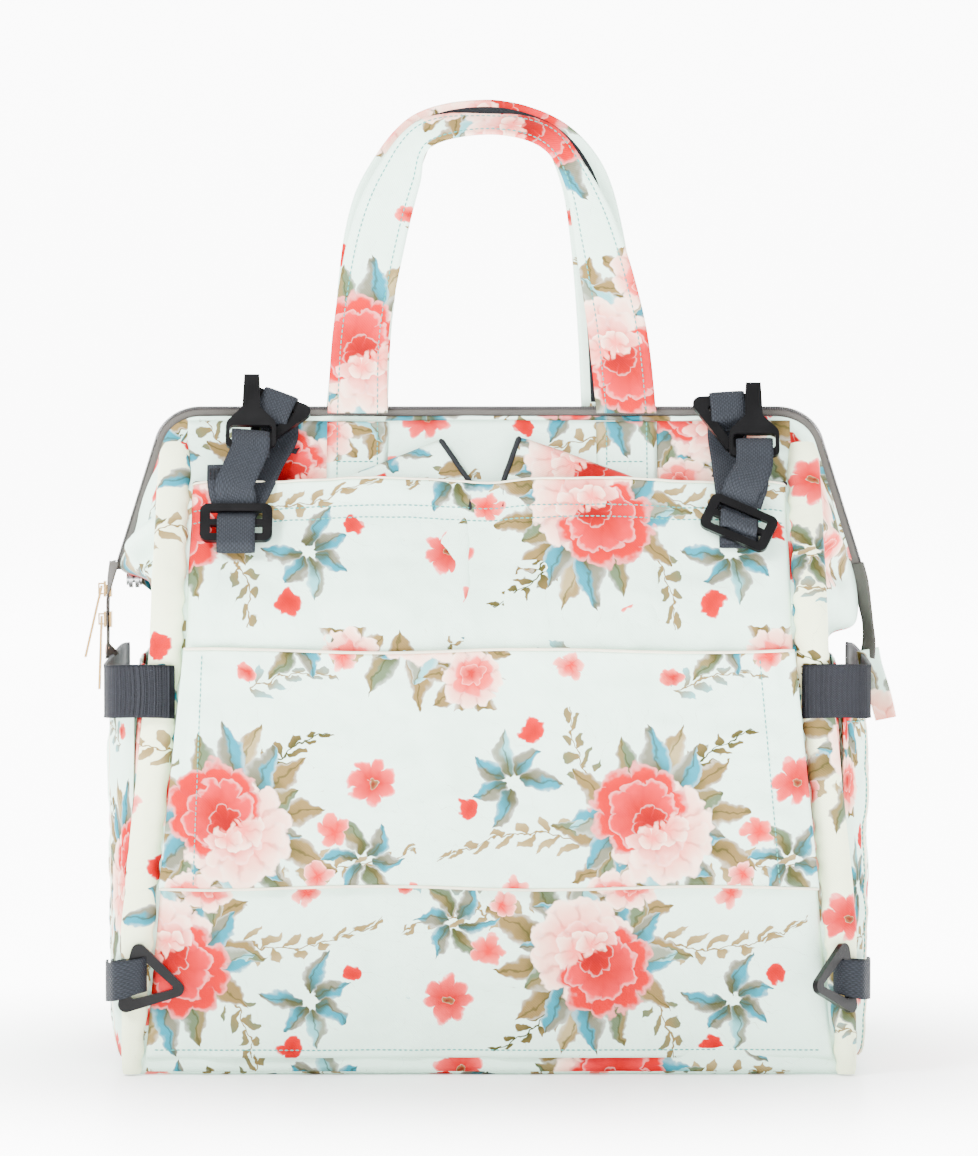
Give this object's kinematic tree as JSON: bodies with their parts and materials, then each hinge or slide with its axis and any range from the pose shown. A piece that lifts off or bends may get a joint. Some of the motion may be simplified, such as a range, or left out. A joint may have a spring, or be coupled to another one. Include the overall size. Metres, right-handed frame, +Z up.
{
  "type": "diaper bag",
  "caption": "Soft carry bag with a hinged wire-framed zip mouth, carrying handles, stowed shoulder straps, luggage sleeve, pockets, strap rings and hooks.",
  "frame": {"origin": "middle of the base, on the surface that the bag stands on", "axes": "+Z up, -Y towards the wearer's back, +X to the right seen from behind the bag"},
  "size_m": [0.4125, 0.2542, 0.486],
  "materials": {
    "print_fabric": "coated twill with a printed flower pattern, slight sheen",
    "padded_roll": "coated printed twill over a padded seam",
    "foam_pad": "open foam pad",
    "base_board": "stiff sheet",
    "lining": "plain woven lining",
    "zip_tape": "herringbone woven tape",
    "zip_teeth": "nylon coil",
    "elastic": "ribbed woven elastic",
    "webbing": "woven webbing",
    "black_plastic": "moulded, fine satin texture",
    "gold_metal": "pale gold plating, polished",
    "spring_steel": "drawn spring wire"
  },
  "bodies": {
    "root": {"back_foam": "foam_pad", "back_panel": "print_fabric", "back_pocket": "print_fabric", "back_roll_left": "padded_roll", "back_roll_right": "padded_roll", "base_board": "base_board", "base_panel": "print_fabric", "corner_tab_left": "webbing", "corner_tab_right": "webbing", "frame_rivets": "spring_steel", "frame_wire_rear": "spring_steel", "front_gussets": "print_fabric", "front_panel": "print_fabric", "front_pocket": "print_fabric", "front_pocket_top": "print_fabric", "front_pocket_zip": "zip_tape", "front_yoke": "print_fabric", "handle_patches_rear": "print_fabric", "lining": "lining", "luggage_sleeve": "print_fabric", "rear_gusset_left": "print_fabric", "rear_gusset_right": "print_fabric", "shoulder_strap_left": "print_fabric", "shoulder_strap_right": "print_fabric", "side_elastic_left": "elastic", "side_elastic_right": "elastic", "side_panel_left": "print_fabric", "side_panel_right": "print_fabric", "side_pocket_left": "print_fabric", "side_pocket_right": "print_fabric", "strap_anchors": "webbing", "zip_end_tab_right": "print_fabric", "zip_tail_left": "zip_tape", "zip_tail_right": "zip_tape", "zip_tape_rear": "zip_tape", "zip_teeth_rear": "zip_teeth"},
    "front_mouth": {"frame_wire_front": "spring_steel", "zip_tape_front": "zip_tape", "zip_teeth_front": "zip_teeth", "front_hem": "print_fabric", "handle_patches_front": "print_fabric"},
    "handle_rear": {"handle_rear": "print_fabric"},
    "handle_front": {"handle_front": "print_fabric"},
    "mouth_slider_upper": {"mouth_slider_upper": "gold_metal"},
    "mouth_slider_lower": {"mouth_slider_lower": "gold_metal"},
    "mouth_pull_upper": {"mouth_pull_upper": "gold_metal"},
    "mouth_pull_lower": {"mouth_pull_lower": "gold_metal"},
    "front_pocket_slider": {"front_pocket_slider": "gold_metal"},
    "front_pocket_pull": {"front_pocket_pull": "gold_metal"},
    "corner_ring_left": {"corner_ring_left": "black_plastic"},
    "corner_ring_right": {"corner_ring_right": "black_plastic"},
    "stroller_strap_left": {"strap_ring_left": "black_plastic", "strap_webbing_left": "webbing"},
    "strap_hook_left": {"strap_hook_left": "black_plastic"},
    "strap_buckle_left": {"strap_buckle_left": "black_plastic"},
    "stroller_strap_right": {"strap_ring_right": "black_plastic", "strap_webbing_right": "webbing"},
    "strap_hook_right": {"strap_hook_right": "black_plastic"},
    "strap_buckle_right": {"strap_buckle_right": "black_plastic"}
  },
  "joints": [
    {"name": "mouth_open", "type": "hinge", "parent": "root", "child": "front_mouth", "pos_m": [0, -0.01, 0.243], "axis": [-1, 0, 0], "range_deg": [0, 90], "deforming": ["front_yoke", "front_gussets"]},
    {"name": "handle_rear_swing", "type": "hinge", "parent": "root", "child": "handle_rear", "pos_m": [0, -0.053, 0.3277], "axis": [1, 0, 0], "range_deg": [0, 125]},
    {"name": "handle_front_swing", "type": "hinge", "parent": "front_mouth", "child": "handle_front", "pos_m": [0, -0.0415, 0.3309], "axis": [-1, 0, 0], "range_deg": [0, 65]},
    {"name": "mouth_slider_upper_slide", "type": "slide", "parent": "root", "child": "mouth_slider_upper", "axis": [0, 0, 1], "range_m": [0, 0.004]},
    {"name": "mouth_slider_lower_slide", "type": "slide", "parent": "root", "child": "mouth_slider_lower", "axis": [0, 0, -1], "range_m": [0, 0.008]},
    {"name": "mouth_pull_upper_swing", "type": "hinge", "parent": "mouth_slider_upper", "child": "mouth_pull_upper", "pos_m": [-0.1977, -0.01, 0.2391], "axis": [0, 1, 0], "range_deg": [0, 75]},
    {"name": "mouth_pull_lower_swing", "type": "hinge", "parent": "mouth_slider_lower", "child": "mouth_pull_lower", "pos_m": [-0.1977, -0.01, 0.2236], "axis": [0, 1, 0], "range_deg": [0, 14]},
    {"name": "front_pocket_zip_slide", "type": "slide", "parent": "root", "child": "front_pocket_slider", "axis": [1, 0, 0], "range_m": [0, 0.34]},
    {"name": "front_pocket_pull_swing", "type": "hinge", "parent": "front_pocket_slider", "child": "front_pocket_pull", "pos_m": [-0.185, 0.1265, 0.1401], "axis": [1, 0, 0], "range_deg": [0, 85]},
    {"name": "corner_ring_left_swing", "type": "hinge", "parent": "root", "child": "corner_ring_left", "pos_m": [-0.178, -0.1039, 0.05], "axis": [-0.2419, 0, -0.9703], "range_deg": [0, 110]},
    {"name": "corner_ring_right_swing", "type": "hinge", "parent": "root", "child": "corner_ring_right", "pos_m": [0.178, -0.1039, 0.05], "axis": [-0.1392, 0, 0.9903], "range_deg": [-45, 60]},
    {"name": "stroller_strap_left_swing", "type": "hinge", "parent": "root", "child": "stroller_strap_left", "pos_m": [-0.1055, -0.05113, 0.32631], "axis": [-1, 0, 0], "range_deg": [0, 10]},
    {"name": "strap_hook_left_lift", "type": "slide", "parent": "stroller_strap_left", "child": "strap_hook_left", "axis": [0, 0.4357, 0.9001], "range_m": [0, 0.003]},
    {"name": "strap_buckle_left_slide", "type": "slide", "parent": "stroller_strap_left", "child": "strap_buckle_left", "axis": [0, 0.4357, 0.9001], "range_m": [0, 0.01]},
    {"name": "stroller_strap_right_swing", "type": "hinge", "parent": "root", "child": "stroller_strap_right", "pos_m": [0.1195, -0.05113, 0.32631], "axis": [-1, 0, 0], "range_deg": [0, 10]},
    {"name": "strap_hook_right_lift", "type": "slide", "parent": "stroller_strap_right", "child": "strap_hook_right", "axis": [0, 0.4357, 0.9001], "range_m": [0, 0.003]},
    {"name": "strap_buckle_right_slide", "type": "slide", "parent": "stroller_strap_right", "child": "strap_buckle_right", "axis": [0, 0.4357, 0.9001], "range_m": [0, 0.01]}
  ]
}
